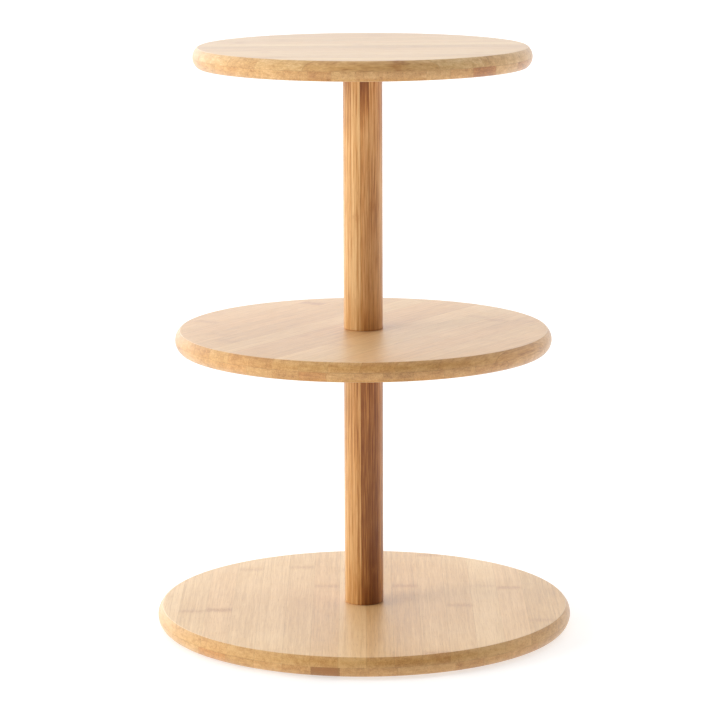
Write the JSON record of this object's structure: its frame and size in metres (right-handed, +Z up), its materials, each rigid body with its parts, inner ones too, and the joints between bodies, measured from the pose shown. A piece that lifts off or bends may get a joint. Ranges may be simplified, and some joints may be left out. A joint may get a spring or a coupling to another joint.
{
  "type": "tiered shelf riser",
  "caption": "Three round bamboo plates, smaller towards the top, stacked one above another on a central round post and screwed together on its axis.",
  "frame": {"origin": "on the worktop, at the centre of the base, at the undersides of the foot pads", "axes": "+Z up along the post's axis; front towards -Y; the stand is round, so X and Y are free"},
  "size_m": [0.3, 0.3, 0.42],
  "materials": {
    "bamboo_plate": "satin",
    "bamboo_post": "satin",
    "plated_steel": "bright zinc plate",
    "insert_metal": "yellow passivated",
    "foot_rubber": "matt"
  },
  "bodies": {
    "root": {"base_lower_ply": "bamboo_plate", "base_upper_ply": "bamboo_plate", "middle_lower_ply": "bamboo_plate", "middle_upper_ply": "bamboo_plate", "top_lower_ply": "bamboo_plate", "top_upper_ply": "bamboo_plate", "lower_post": "bamboo_post", "upper_post": "bamboo_post", "base_bolt": "plated_steel", "base_washer": "plated_steel", "middle_stud": "plated_steel", "top_stud": "plated_steel", "lower_post_foot_insert": "insert_metal", "lower_post_head_insert": "insert_metal", "upper_post_foot_insert": "insert_metal", "upper_post_head_insert": "insert_metal", "top_plate_insert": "insert_metal", "foot_pad_1": "foot_rubber", "foot_pad_2": "foot_rubber", "foot_pad_3": "foot_rubber", "foot_pad_4": "foot_rubber"}
  },
  "joints": []
}
